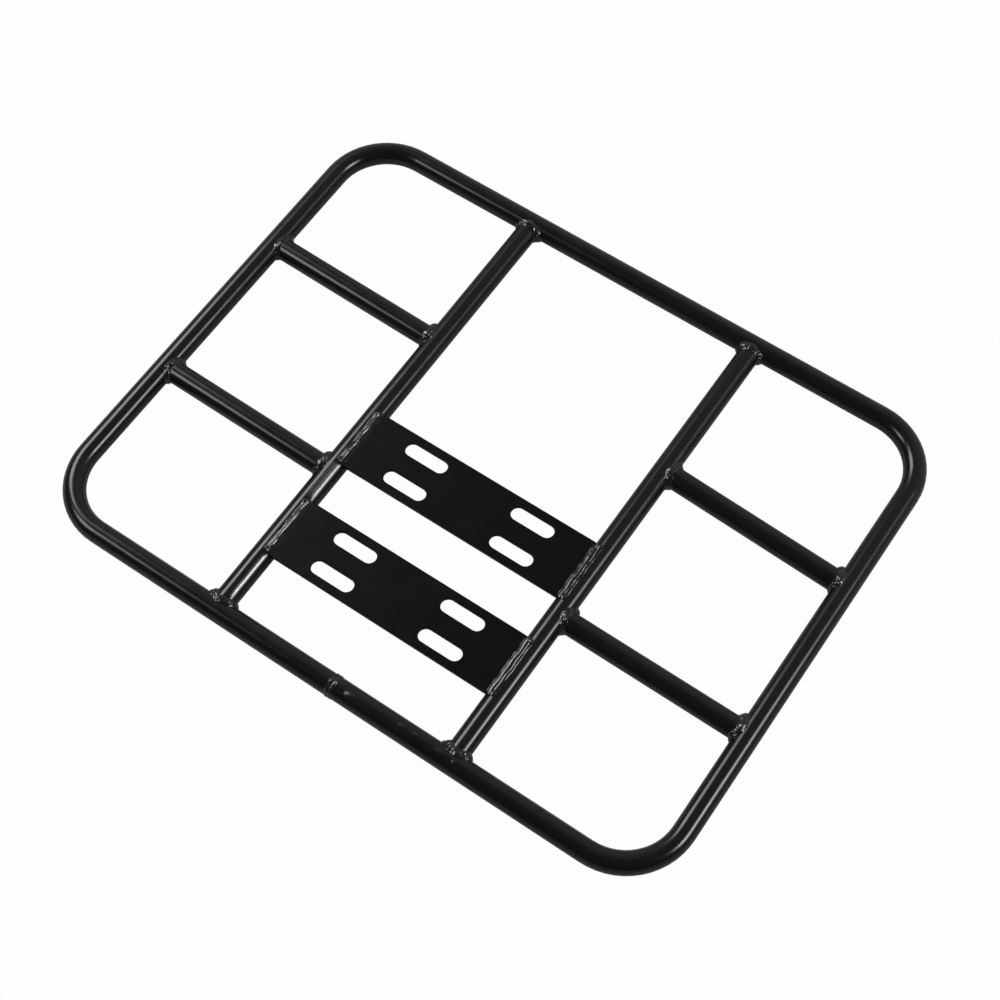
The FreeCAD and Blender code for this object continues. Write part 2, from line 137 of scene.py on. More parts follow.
def add_range(tree, value, low, high, to_low, to_high, smooth=False):
    """A socket moved from one range to another, and kept inside it."""
    node = tree.nodes.new("ShaderNodeMapRange")
    node.clamp = True
    if smooth:
        node.interpolation_type = "SMOOTHSTEP"
    tree.links.new(value, node.inputs["Value"])
    for key, number in (("From Min", low), ("From Max", high), ("To Min", to_low), ("To Max", to_high)):
        node.inputs[key].default_value = number
    return node.outputs["Result"]


# %% [markdown]
# The studio is a white table under a dim ceiling.
# The world stands for the walls of the studio: brighter behind the rack, and
# dark overhead and in front. A black gloss surface is a mirror for the room, so
# these walls decide how black the rack looks. They are a plain gradient in the
# direction that a ray leaves. The picture itself has a white background, so the
# camera sees white in place of the walls, and what is mirrored or seen through
# something gets a smaller share of that white. The floor below does the same.

# %% World
# How bright the walls are, from the front of the studio (-1) over the top to the back (1).
WALLS = (
    (-1.00, 0.05), (-0.80, 0.00), (-0.60, 0.02), (-0.30, 0.04), (0.00, 0.10),
    (0.20, 0.20), (0.40, 0.41), (0.57, 0.66), (0.75, 0.72), (1.00, 0.62),
)
HORIZON = 0.18
WHITE_SHARE = 0.98
MIRRORED_WALLS = 0.13
MIRRORED_FLOOR = 0.16
WHITE = (1.0, 1.0, 1.0, 1.0)


def white_share(tree, mirrored_share):
    """How much of the plain white background each kind of ray meets, as a socket."""
    rays = add_node(tree, "ShaderNodeLightPath")
    mirrored = add_math(tree, "MAXIMUM", rays.outputs["Is Glossy Ray"], rays.outputs["Is Transmission Ray"])
    mirrored = add_math(tree, "MULTIPLY", mirrored, mirrored_share)
    seen = add_math(tree, "MULTIPLY", rays.outputs["Is Camera Ray"], WHITE_SHARE)
    return add_math(tree, "MAXIMUM", seen, mirrored)


world = bpy.data.worlds.new("studio_walls")
world.use_nodes = True
bpy.context.scene.world = world
tree = world.node_tree
tree.nodes.clear()
direction = add_node(tree, "ShaderNodeTexCoord").outputs["Generated"]
parts = add_node(tree, "ShaderNodeSeparateXYZ", Vector=direction)
walls = add_node(tree, "ShaderNodeValToRGB", Fac=add_range(tree, parts.outputs["Y"], -1.0, 1.0, 0.0, 1.0))
stops = walls.color_ramp.elements
while len(stops) < len(WALLS):
    stops.new(0.5)
for stop, (towards_back, level) in zip(stops, WALLS):
    stop.position = (towards_back + 1.0) / 2.0
    stop.color = (level, level, level, 1.0)
horizon = add_range(tree, parts.outputs["Z"], 0.02, 0.20, HORIZON, 0.0, smooth=True)
level = add_math(tree, "MAXIMUM", walls.outputs["Color"], horizon)
room = add_node(tree, "ShaderNodeBackground", Strength=level)
white_room = add_node(tree, "ShaderNodeBackground", Color=WHITE, Strength=1.0)
mixed = add_node(tree, "ShaderNodeMixShader", n0=white_share(tree, MIRRORED_WALLS))
tree.links.new(room.outputs[0], mixed.inputs[1])
tree.links.new(white_room.outputs[0], mixed.inputs[2])
add_node(tree, "ShaderNodeOutputWorld", Surface=mixed.outputs[0])
print("world: from", WALLS[0][1], "in front to", WALLS[-1][1], "behind")

# %% [markdown]
# The floor is one large pale sheet.
# It could be lit until it turns white, but more light would also wash out the
# black paint. So its whiteness comes from its own material: for the camera, and
# for what is mirrored or seen through something, most of the floor's colour is
# plain white, and the rest is real paper that still catches the rack's shadow.

# %% Floor
FLOOR_HALF = 60.0
FLOOR_COLOUR = (0.36, 0.36, 0.36, 1.0)

floor_mesh = bpy.data.meshes.new("floor")
floor_mesh.from_pydata(
    [(x * FLOOR_HALF, y * FLOOR_HALF, 0.0) for x, y in ((-1, -1), (1, -1), (1, 1), (-1, 1))],
    [],
    [(0, 1, 2, 3)],
)
floor = bpy.data.objects.new("floor", floor_mesh)
bpy.context.scene.collection.objects.link(floor)

paper = bpy.data.materials.new("white_paper")
paper.use_nodes = True
tree = paper.node_tree
tree.nodes.clear()
real = add_node(tree, "ShaderNodeBsdfDiffuse", Color=FLOOR_COLOUR)
white = add_node(tree, "ShaderNodeEmission", Strength=1.0)
mixed = add_node(tree, "ShaderNodeMixShader", n0=white_share(tree, MIRRORED_FLOOR))
tree.links.new(real.outputs[0], mixed.inputs[1])
tree.links.new(white.outputs[0], mixed.inputs[2])
add_node(tree, "ShaderNodeOutputMaterial", Surface=mixed.outputs[0])
floor_mesh.materials.append(paper)
print("floor:", 2 * FLOOR_HALF, "m wide")

# %% [markdown]
# Three soft boxes light the rack.
# On the gloss tubes each of them shows as a thin bright line, and where those
# lines lie tells where the boxes stood: one high on the left, one high on the
# right, and one at the front left. Beside the two high ones hangs a wider and
# much weaker panel, for the light that the box spills past its rim. Area lamps
# would do, but they are evenly bright up to a hard edge. A real soft box fades
# towards its rim, so each is a panel whose glow falls off from its middle.

# %% Soft boxes
BOX_TINT = (0.955, 0.98, 1.015, 1.0)


def soft_box(name, heading, distance, width, height, strength, evenness):
    """A glowing panel that faces the rack from a direction, its width running from front to back."""
    mesh = bpy.data.meshes.new(name)
    corners = [(-width / 2, -height / 2, 0), (width / 2, -height / 2, 0)]
    corners += [(width / 2, height / 2, 0), (-width / 2, height / 2, 0)]
    mesh.from_pydata(corners, [], [(0, 1, 2, 3)])
    panel = bpy.data.objects.new(name, mesh)
    bpy.context.scene.collection.objects.link(panel)
    away = Vector(heading).normalized()
    backwards = Vector((0.0, 1.0, 0.0))
    backwards = (backwards - backwards.project(away)).normalized()
    upwards = away.cross(backwards)
    turn = Matrix((backwards, upwards, away)).transposed().to_4x4()
    panel.matrix_world = Matrix.Translation(away * distance) @ turn
    panel.visible_camera = False
    glow = bpy.data.materials.new(name + "_glow")
    glow.use_nodes = True
    tree = glow.node_tree
    tree.nodes.clear()
    place = add_node(tree, "ShaderNodeTexCoord").outputs["Object"]
    across = add_node(tree, "ShaderNodeSeparateXYZ", Vector=place)
    fade = None
    for axis, half in (("X", width / 2), ("Y", height / 2)):
        distance_out = add_math(tree, "ABSOLUTE", across.outputs[axis])
        side = add_range(tree, distance_out, evenness * half, half, 1.0, 0.0, smooth=True)
        fade = side if fade is None else add_math(tree, "MULTIPLY", fade, side)
    power = add_math(tree, "MULTIPLY", fade, strength)
    glowing = add_node(tree, "ShaderNodeEmission", Color=BOX_TINT, Strength=power)
    add_node(tree, "ShaderNodeOutputMaterial", Surface=glowing.outputs[0])
    mesh.materials.append(glow)
    print(name, "at", [round(v, 2) for v in panel.location], "strength", strength)
    return panel


soft_box("left_soft_box", (-0.70, 0.16, 0.69), 2.2, 1.35, 1.30, 11.8, 0.38)
soft_box("left_spill", (-0.66, 0.30, 0.69), 2.6, 1.70, 1.10, 2.0, 0.50)
soft_box("right_soft_box", (0.78, 0.18, 0.60), 3.0, 1.85, 1.45, 22.5, 0.15)
soft_box("right_spill", (0.74, 0.34, 0.60), 3.3, 2.00, 1.30, 2.8, 0.50)
soft_box("front_left_soft_box", (-0.58, -0.45, 0.68), 2.1, 1.00, 1.00, 10.0, 0.30)

# %% [markdown]
# The paint on the tubes is a gloss black powder coat.
# Seen close, powder coat is never a flat black: it has a fine orange peel, long
# soft waves that make the bright lines wander, some dust, and a gloss that
# changes a little from place to place. Noise textures in the object's own
# coordinates give all of these without a picture. The tone, the gloss and the
# height are separate noises, so that they don't all change at the same places.

# %% Paint
PAINT_IOR = 1.35
# How many patches of each noise fit in a metre.
CLOUD_SCALE = 38.0
GRAIN_SCALE = 950.0
SPECK_SCALE = 330.0
GLOSS_SCALE = 60.0
PEEL_SCALE = 520.0
WAVE_SCALE = 75.0
DARKEST_SHARE = 0.72
DUST_ROUGHNESS = 0.6


def black_paint(name, tone, dust_tone, gloss, peel, wave, dust_share, shine=0.5):
    """A black powder coat: its tones, the range of its roughness, its relief in metres and its dust."""
    paint = bpy.data.materials.new(name)
    paint.use_nodes = True
    tree = paint.node_tree
    shader = tree.nodes["Principled BSDF"]
    shader.inputs["Metallic"].default_value = 0.0
    shader.inputs["IOR"].default_value = PAINT_IOR
    shader.inputs["Specular IOR Level"].default_value = shine
    place = add_node(tree, "ShaderNodeTexCoord").outputs["Object"]
    cloud = add_node(tree, "ShaderNodeTexNoise", Vector=place, Scale=CLOUD_SCALE, Detail=4.0)
    grain = add_node(tree, "ShaderNodeTexNoise", Vector=place, Scale=GRAIN_SCALE, Detail=2.0)
    specks = add_node(tree, "ShaderNodeTexVoronoi", Vector=place, Scale=SPECK_SCALE, Randomness=1.0)
    lucky = add_node(tree, "ShaderNodeSeparateColor", Color=specks.outputs["Color"])
    chosen = add_range(tree, lucky.outputs["Red"], 1.0 - dust_share, 1.0 - dust_share + 0.01, 0.0, 1.0)
    spot = add_range(tree, specks.outputs["Distance"], 0.10, 0.22, 1.0, 0.0)
    dust = add_math(tree, "MULTIPLY", chosen, spot)
    mottle = add_math(tree, "MULTIPLY", cloud.outputs["Fac"], grain.outputs["Fac"])
    darker = [DARKEST_SHARE * value for value in tone]
    shade = add_node(tree, "ShaderNodeMix")
    shade.data_type = "RGBA"
    tree.links.new(add_range(tree, mottle, 0.15, 0.36, 0.0, 1.0), shade.inputs["Factor"])
    shade.inputs["A"].default_value = (*darker, 1.0)
    shade.inputs["B"].default_value = (*tone, 1.0)
    dusty = add_node(tree, "ShaderNodeMix")
    dusty.data_type = "RGBA"
    tree.links.new(dust, dusty.inputs["Factor"])
    tree.links.new(shade.outputs["Result"], dusty.inputs["A"])
    dusty.inputs["B"].default_value = (*dust_tone, 1.0)
    tree.links.new(dusty.outputs["Result"], shader.inputs["Base Color"])
    patches = add_node(tree, "ShaderNodeTexNoise", Vector=place, Scale=GLOSS_SCALE, Detail=2.0)
    rough = add_range(tree, patches.outputs["Fac"], 0.30, 0.70, gloss[0], gloss[1])
    rough = add_math(tree, "MAXIMUM", rough, add_math(tree, "MULTIPLY", dust, DUST_ROUGHNESS))
    tree.links.new(rough, shader.inputs["Roughness"])
    skin = add_node(tree, "ShaderNodeTexNoise", Vector=place, Scale=PEEL_SCALE, Detail=2.0)
    waves = add_node(tree, "ShaderNodeTexNoise", Vector=place, Scale=WAVE_SCALE, Detail=1.0)
    relief = None
    for texture, height in ((waves, wave), (skin, peel)):
        bump = add_node(tree, "ShaderNodeBump", Strength=1.0, Distance=height)
        tree.links.new(texture.outputs["Fac"], bump.inputs["Height"])
        if relief is not None:
            tree.links.new(relief, bump.inputs["Normal"])
        relief = bump.outputs["Normal"]
    tree.links.new(relief, shader.inputs["Normal"])
    print("paint", name, "roughness", gloss)
    return paint


tube_paint = black_paint(
    "gloss_black_tube_paint", (0.0033, 0.0034, 0.0035), (0.014, 0.014, 0.014),
    (0.15, 0.20), 0.000002, 0.00007, 0.003,
)
plate_paint = black_paint(
    "satin_black_plate_paint", (0.0013, 0.0013, 0.0013), (0.008, 0.008, 0.008),
    (0.30, 0.36), 0.000012, 0.00002, 0.03, 0.19,
)
weld_paint = black_paint(
    "gloss_black_weld_paint", (0.0033, 0.0034, 0.0035), (0.014, 0.014, 0.014),
    (0.08, 0.11), 0.000003, 0.00002, 0.0, 0.85,
)

# %% [markdown]
# The paint of the runs beside the butt weld, paler as painted sheen.
# It is the same recipe again, only paler, duller and dustier. The paler tone is
# painted sheen: it stands in for the faint light that the runs catch on the tube.

# %% Paint of the runs, paler as painted sheen
# The tone here is paler than the coat's as painted sheen; the light specks are dust.
run_paint_with_painted_sheen = black_paint(
    "dusty_black_run_paint_painted_sheen", (0.0100, 0.0100, 0.0105), (0.030, 0.030, 0.030),
    (0.20, 0.30), 0.000004, 0.00003, 0.05, 0.60,
)

# %% [markdown]
# Two spots on the left rail are brighter than the rest.
# In front of each plate the rail shows a broad pale streak with a hard edge,
# where the paint lies thicker and less evenly. A spot is found by its place along
# the rail and by the angle round the tube, both from the object's own
# coordinates. There the paint gets a second coat that mirrors more light, and a
# rougher one, so that the mirrored lamp spreads over the whole spot.

# %% Bright spots on the left rail
# From and to along y in mm, then the angles of the faded side and of the sharp side in degrees.
BRIGHT_SPOTS = ((-88.5, -56.0, -6.0, 35.0), (-176.0, -138.5, 16.0, 35.0))
SECOND_COAT_IOR = 2.6
SECOND_COAT_ROUGHNESS = 0.30


def bright_spots(paint, axis_x):
    """A second, brighter coat in spots on the paint of a tube along y."""
    tree = paint.node_tree
    shader = tree.nodes["Principled BSDF"]
    place = add_node(tree, "ShaderNodeTexCoord").outputs["Object"]
    parts = add_node(tree, "ShaderNodeSeparateXYZ", Vector=place)
    beside = add_math(tree, "SUBTRACT", parts.outputs["X"], axis_x * MM)
    above = add_math(tree, "SUBTRACT", parts.outputs["Z"], AXIS_HEIGHT * MM)
    angle = add_math(tree, "ARCTAN2", beside, above)
    bright = None
    for start, stop, faded, sharp in BRIGHT_SPOTS:
        spot = add_range(tree, angle, math.radians(faded), math.radians(sharp), 0.0, 1.0)
        edge = add_range(tree, angle, math.radians(sharp), math.radians(sharp + 2.0), 1.0, 0.0)
        begins = add_range(tree, parts.outputs["Y"], start * MM, (start + 5.0) * MM, 0.0, 1.0)
        ends = add_range(tree, parts.outputs["Y"], (stop - 2.0) * MM, stop * MM, 1.0, 0.0)
        for limit in (edge, begins, ends):
            spot = add_math(tree, "MULTIPLY", spot, limit)
        bright = spot if bright is None else add_math(tree, "MAXIMUM", bright, spot)
    shader.inputs["Coat IOR"].default_value = SECOND_COAT_IOR
    shader.inputs["Coat Roughness"].default_value = SECOND_COAT_ROUGHNESS
    tree.links.new(bright, shader.inputs["Coat Weight"])
    print("bright spots:", len(BRIGHT_SPOTS))


left_rail_paint = tube_paint.copy()
left_rail_paint.name = "gloss_black_left_rail_paint"
bright_spots(left_rail_paint, -RAIL_X)

# %% [markdown]
# The tubes and plates get their paint.
# Their shapes are the CAD's own, and stay untouched. They could be rebuilt here,
# but a drawn tube is as plain as the real one, and its imported normals already
# shade it smooth. So only the material in each node's slot is changed.

# %% Paint the tubes and plates
TUBES = ["outer_ring", "left_rail", "right_rail"]
TUBES += [f"{side}_{end}_bar" for side in ("left", "right") for end in ("rear", "front")]
PLATES = ["front_plate", "rear_plate"]


def paint_node(name, paint):
    """Give a CAD node one paint all over."""
    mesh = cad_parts[name].data
    if not mesh.materials:
        mesh.materials.append(paint)
    for slot in range(len(mesh.materials)):
        mesh.materials[slot] = paint


for tube in TUBES:
    paint_node(tube, left_rail_paint if tube == "left_rail" else tube_paint)
for plate in PLATES:
    paint_node(plate, plate_paint)
print("painted", len(TUBES), "tubes and", len(PLATES), "plates")

# %% [markdown]
# A weld bead is never quite even, because a hand moved the torch.
# Random numbers at every point would give sand, not a bead. A wander is a sum
# of a few waves with random sizes and starts instead, so it is smooth, and it
# closes on itself where a bead goes all the way round a tube. Each bead has its
# own seed, so that it is irregular in its own way and the same on every run.

# %% Wander
def wander(seed, counts):
    """A smooth, closed random curve of an angle, between about -1 and 1."""
    dice = random.Random(seed)
    waves = [(count, dice.uniform(0.5, 1.0), dice.uniform(0, 2 * math.pi)) for count in counts]
    total = sum(size for _, size, _ in waves) ** 0.5

    def curve(angle):
        return sum(size * math.cos(count * angle + start) for count, size, start in waves) / total

    return curve


# %% [markdown]
# A bead's skin is a band of rings.
# Each ring is one section of the bead, as a list of points, and neighbouring
# rings are joined by faces. Blender could sweep a curve instead, but then every
# section would be the same. A bead round a tube closes on itself, and a straight
# one gets a face at each end, so that neither kind has an open edge.

# %% Band of rings
def closed_band(name, rings, paint, ends_closed=False):
    """A mesh from rings of points: joined round and, unless its ends close, end to end."""
    mesh = bmesh.new()
    rows = [[mesh.verts.new(Vector(point) * MM) for point in ring] for ring in rings]
    size = len(rows[0])
    pairs = list(zip(rows, rows[1:]))
    if not ends_closed:
        pairs.append((rows[-1], rows[0]))
    for one, two in pairs:
        for spot in range(size):
            nxt = (spot + 1) % size
            mesh.faces.new((one[spot], one[nxt], two[nxt], two[spot]))
    if ends_closed:
        mesh.faces.new(rows[0])
        mesh.faces.new(list(reversed(rows[-1])))
    bmesh.ops.recalc_face_normals(mesh, faces=mesh.faces)
    for face in mesh.faces:
        face.smooth = True
    data = bpy.data.meshes.new(name)
    mesh.to_mesh(data)
    mesh.free()
    data.materials.append(paint)
    piece = bpy.data.objects.new(name, data)
    bpy.context.scene.collection.objects.link(piece)
    return piece


# %% [markdown]
# Twelve tube joints, each with a fillet weld all the way round.
# On the real rack every bead is a row of overlapping ripples, thick in the two
# corners beside the tube and thin over its top. A torus squeezed into the
# corner would not lie on both tubes. So each section of the bead starts on one
# tube, swells outwards, and ends on the other. Two raised lines, left by two
# passes of the torch, run along it, and low ripples cross them. The toe lines
# are curves like those of the CAD model, with a leg of their own at each joint.

# %% Joint list
SIDE_SPAN = RING_X - RAIL_X
BARS = {
    "left_rear_bar": (65.4, -3.1),
    "right_rear_bar": (63.2, -6.4),
    "left_front_bar": (-60.0, -2.1),
    "right_front_bar": (-64.6, -1.3),
}

joints = []
for side, sign in (("left", -1), ("right", 1)):
    joints.append((f"{side}_rail_front_weld", (sign * RAIL_X, -RING_Y), 90.0, 0.0))
    joints.append((f"{side}_rail_rear_weld", (sign * RAIL_X, RING_Y), -90.0, 0.0))
for bar, (middle, rise) in BARS.items():
    skew = math.degrees(math.atan2(rise, SIDE_SPAN))
    if bar.startswith("left"):
        ends = (("outer", -RING_X), ("inner", -RAIL_X))
    else:
        ends = (("inner", RAIL_X), ("outer", RING_X))
    joints.append((f"{bar}_{ends[0][0]}_weld", (ends[0][1], middle - rise / 2), skew, skew))
    joints.append((f"{bar}_{ends[1][0]}_weld", (ends[1][1], middle + rise / 2), skew + 180.0, skew))
print(len(joints), "tube joints")

# %% Bead round a tube joint
# The leg and the swell of each bead, in mm: on its near side, then on its far side.
CORNERS = {
    "left_rail_rear_weld": (4.8, -0.20, 2.6, 0.15),
    "right_rail_rear_weld": (3.2, -0.20, 3.3, 0.20),
    "left_rail_front_weld": (4.6, 0.25, 3.4, 0.40),
    "right_rail_front_weld": (4.6, 0.22, 4.0, 0.40),
    "left_rear_bar_outer_weld": (3.9, -0.55, 3.0, -0.50),
    "left_rear_bar_inner_weld": (2.2, -0.20, 4.6, 0.45),
    "left_front_bar_outer_weld": (3.6, 0.20, 3.0, -0.40),
    "left_front_bar_inner_weld": (2.3, -0.15, 4.2, 0.45),
    "right_rear_bar_inner_weld": (4.0, -0.55, 3.6, -0.70),
    "right_rear_bar_outer_weld": (2.3, -0.15, 4.0, 0.40),
    "right_front_bar_inner_weld": (4.0, 0.40, 2.6, -0.10),
    "right_front_bar_outer_weld": (2.6, -0.10, 4.8, 0.45),
}
CROWN_TOE = 1.6
CROWN_LEG = 4.4
CROWN_BULGE = 0.50
TURNS = 460
ACROSS = 22
RIPPLE_COUNT = 22
LUMP_SCALE = 0.46
# Two passes of the torch: how far across the bead each lies (0 to 1), its width and its wander.
PASSES = (0.28, 0.60)
PASS_WIDTH = 0.115
PASS_WANDER = 0.10
# The heights of ripples and passes: the least, and how much more there is on the flanks, in mm.
RIPPLE_HEIGHT = (0.03, 0.10)
PASS_HEIGHT = (0.08, 0.36)
# How far the bead wanders: its leg as a share, its toe's angle in radians, the rest in mm.
LEG_WANDER = 0.12
TOE_ANGLE_WANDER = 0.05
REACH_WANDER = 0.55
SWELL_WANDER = 0.16
LUMP_HEIGHT = 0.50
# How far the bead may reach under and over the tubes, in mm.
UNDER_TUBE = 0.34
OVER_TUBE = 0.80
# How deep the bead's edges and its root lie inside the tubes, so that no gap shows, in mm.
SKIN_DIP = 0.5
ROOT_DIP = 0.6


def joint_bead(name, place, heading, skew, corners, seed):
    """The bead round a tube that meets another tube, in the joint's own frame, then set in place."""
    near_leg, near_swell, far_leg, far_swell = corners
    leg_wander = wander(seed, (1, 2, 3, 5, 8))
    reach_wander = wander(seed + 1, (1, 2, 4, 7))
    swell_wander = wander(seed + 2, (2, 3, 5, 9, 14))
    step_wander = wander(seed + 3, (2, 3, 7, 11))
    size_wander = wander(seed + 4, (3, 5, 8))
    pass_wanders = [wander(seed + 5 + line, (4, 7, 11)) for line in range(len(PASSES))]
    lean = Matrix.Rotation(math.radians(-skew), 3, "Z")
    rings = []
    for number in range(TURNS):
        turn = 2 * math.pi * number / TURNS
        side, up = math.cos(turn), math.sin(turn)
        flank = side * side
        detail = (0.50 + 0.50 * flank) * min(1.0, 0.25 + 1.7 * up * up)
        near = 0.5 + 0.5 * side
        leg_size = far_leg + (near_leg - far_leg) * near
        side_swell = far_swell + (near_swell - far_swell) * near
        leg = TUBE_RADIUS + leg_size * (1.0 + LEG_WANDER * leg_wander(turn))
        toe_angle = math.acos((TIP_TRIM - CROWN_TOE) / TUBE_RADIUS)
        toe_angle += TOE_ANGLE_WANDER * leg_wander(turn + 2.0)
        wrap = toe_angle * up
        on_run = lean @ Vector((TUBE_RADIUS * math.cos(wrap), leg * side, TUBE_RADIUS * math.sin(wrap)))
        run_out = lean @ Vector((math.cos(wrap), 0.0, math.sin(wrap)))
        crown_x = TIP_TRIM + CROWN_LEG
        toe_x = crown_x + (TUBE_RADIUS + leg_size - crown_x) * flank
        toe_x += REACH_WANDER * reach_wander(turn) + TUBE_RADIUS * side * math.tan(math.radians(skew))
        on_branch = Vector((toe_x, TUBE_RADIUS * side, TUBE_RADIUS * up))
        branch_out = Vector((0.0, side, up))
        outward = (run_out + branch_out).normalized()
        swell = CROWN_BULGE + (side_swell - CROWN_BULGE) * flank
        swell += SWELL_WANDER * flank * swell_wander(turn)
        corner_x = max(TUBE_RADIUS * abs(side), TIP_TRIM)
        corner = Vector((corner_x, TUBE_RADIUS * side, TUBE_RADIUS * up))
        ring = [on_run - SKIN_DIP * run_out]
        for step in range(ACROSS + 1):
            share = step / ACROSS
            dome = 4.0 * share * (1.0 - share)
            phase = RIPPLE_COUNT * turn + 1.6 * dome + 1.4 * step_wander(turn)
            crest = 0.5 + 0.5 * math.cos(phase)
            height = (RIPPLE_HEIGHT[0] + RIPPLE_HEIGHT[1] * detail) * (1.0 + 0.5 * size_wander(turn))
            ripple = height * (crest**0.8 - 0.5) * min(1.0, 3.0 * dome)
            for pass_number, pass_place in enumerate(PASSES):
                middle = pass_place + PASS_WANDER * pass_wanders[pass_number](turn)
                size = PASS_HEIGHT[0] + PASS_HEIGHT[1] * detail
                size *= 1.0 + 0.6 * size_wander(turn + 2.0 * pass_number)
                ripple += size * math.exp(-((share - middle) / PASS_WIDTH) ** 2) * min(1.0, 3.0 * dome)
            point = on_run.lerp(on_branch, share)
            lump = noise.noise(point * LUMP_SCALE + Vector((seed, 0.0, 0.0)))
            ripple += LUMP_HEIGHT * lump * detail * min(1.0, 2.0 * dome)
            point += outward * (swell * dome + ripple)
            point.z = max(-TUBE_RADIUS - UNDER_TUBE, min(TUBE_RADIUS + OVER_TUBE, point.z))
            ring.append(point)
        ring.append(on_branch - SKIN_DIP * branch_out)
        ring.append(corner - ROOT_DIP * outward)
        rings.append(ring)
    bead = closed_band(name, rings, weld_paint)
    spin = Matrix.Rotation(math.radians(heading), 4, "Z")
    bead.data.transform(Matrix.Translation(Vector((*place, AXIS_HEIGHT)) * MM) @ spin)
    return bead


for number, (name, place, heading, skew) in enumerate(joints):
    bead = joint_bead(name + "_bead", place, heading, skew, CORNERS[name], 100 + 10 * number)
    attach(bead, "root")
    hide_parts(name)
print("made", len(joints), "joint beads of", len(bead.data.polygons), "faces")

# %% [markdown]
# Each end of a plate is welded in the groove beside its rail.
# The bead is straight and a little longer than the plate is wide. Long ridges
# wander along it, so it shows two or three wavy lines where it catches the
# light. Drawing those lines as paint would fail from any other side, so they are
# real relief. The bead ends in rounded blobs, where the torch was held still.

# %% Beads along the plate ends
PLATE_PLACES = {"front_plate": -113.3, "rear_plate": -31.6}
PLATE_TOE = PLATE_SEAT + 0.6
PLATE_BEAD_LENGTH = 48.6
PLATE_STEPS = 420
PLATE_ACROSS = 56
# Where each bead starts beside the rail's axis, and where its long ridges lie, in mm.
TOES = {"left": 0.7, "right": -0.3}
RIDGES = {"left": (1.7, 3.7), "right": (0.5, 2.5, 4.7)}
# The height and the half width of each ridge, in mm.
RIDGE_SIZES = {
    "left": ((0.50, 0.52), (0.50, 0.52)),
    "right": ((0.20, 0.50), (0.20, 0.50), (0.18, 0.46)),
}
# The bead falls gently up to here, then faster to the plate, in mm.
SHOULDERS = {"left": 4.2, "right": 5.6}
# A blob at each end: how far in it lies, its height and its radius, in mm.
END_BLOB = (2.4, 0.62, 1.5)
# How far the blob lies from the rail's axis, and over what length the bead's end is rounded.
BLOB_X = 2.6
BLUNT_LENGTH = 3.2
# How far the two toes and the ridges wander, in mm.
TUBE_TOE_WANDER = 0.35
PLATE_TOE_WANDER = 0.34
RIDGE_WANDER = 0.30


def plate_bead(name, side, rail_x, middle, heading, seed):
    """The bead between a rail and the end of a plate."""
    tube_edge = wander(seed, (3, 5, 9))
    plate_edge = wander(seed + 1, (4, 8, 13))
    swell_wander = wander(seed + 2, (2, 4, 7))
    ridge_wanders = [wander(seed + 3 + line, (2, 5, 8)) for line in range(len(RIDGES[side]))]
    size_wander = wander(seed + 7, (2, 5, 8))
    half = PLATE_BEAD_LENGTH / 2
    blob_in, blob_height, blob_radius = END_BLOB
    rings = []
    for number in range(PLATE_STEPS + 1):
        along = -half + PLATE_BEAD_LENGTH * number / PLATE_STEPS
        turn = math.pi * along / half / 2
        end = min(1.0, (half - abs(along)) / BLUNT_LENGTH)
        blunt = math.sqrt(max(0.0, 1.0 - (1.0 - end) ** 2))
        tube_x = TOES[side] + TUBE_TOE_WANDER * tube_edge(turn)
        plate_x = PLATE_TOE + PLATE_TOE_WANDER * plate_edge(turn)
        centre_x = 0.42 * tube_x + 0.58 * plate_x
        tube_x = centre_x + (tube_x - centre_x) * blunt
        plate_x = centre_x + (plate_x - centre_x) * blunt
        ring = []
        for step in range(PLATE_ACROSS + 1):
            share = step / PLATE_ACROSS
            x = tube_x + (plate_x - tube_x) * share
            dome = 4.0 * share * (1.0 - share)
            ground = math.sqrt(TUBE_RADIUS**2 - x * x) if x < PLATE_SEAT else PLATE_TOP
            chord_low = math.sqrt(TUBE_RADIUS**2 - tube_x**2) if tube_x < PLATE_SEAT else PLATE_TOP
            fall = max(0.0, x - SHOULDERS[side]) / max(0.5, plate_x - SHOULDERS[side])
            slump = 0.25 * share + 0.75 * fall * fall * (3.0 - 2.0 * min(1.0, fall))
            chord = chord_low + (PLATE_TOP - chord_low) * min(1.0, slump)
            rise = (0.06 + 0.05 * swell_wander(turn)) * dome
            for ridge_wander, place, (height, width) in zip(ridge_wanders, RIDGES[side], RIDGE_SIZES[side]):
                size = height * (1.0 + 0.18 * size_wander(turn + place))
                rise += size * math.exp(-((x - place - RIDGE_WANDER * ridge_wander(turn)) / width) ** 2)
            blob_along = (half - abs(along) - blob_in) / blob_radius
            blob_across = (x - BLOB_X) / blob_radius
            rise += blob_height * math.exp(-(blob_along**2) - blob_across**2)
            rise += 0.04 * noise.noise(Vector((x, along, seed)) * 0.45)
            z = max(chord, ground - 0.3) - 0.05 + rise * blunt * min(1.0, 7.0 * share, 5.0 * (1.0 - share))
            ring.append(Vector((x, along, z)))
        ring.append(Vector((plate_x - 0.1, along, PLATE_TOP - 0.9)))
        ring.append(Vector((PLATE_SEAT - 0.2 if blunt > 0.5 else centre_x, along, PLATE_TOP - 1.6)))
        ring.append(Vector((tube_x + 0.1, along, PLATE_TOP - 0.9)))
        rings.append(ring)
    bead = closed_band(name, rings, weld_paint, ends_closed=True)
    spin = Matrix.Rotation(math.radians(heading), 4, "Z")
    bead.data.transform(Matrix.Translation(Vector((rail_x, middle, AXIS_HEIGHT)) * MM) @ spin)
    return bead


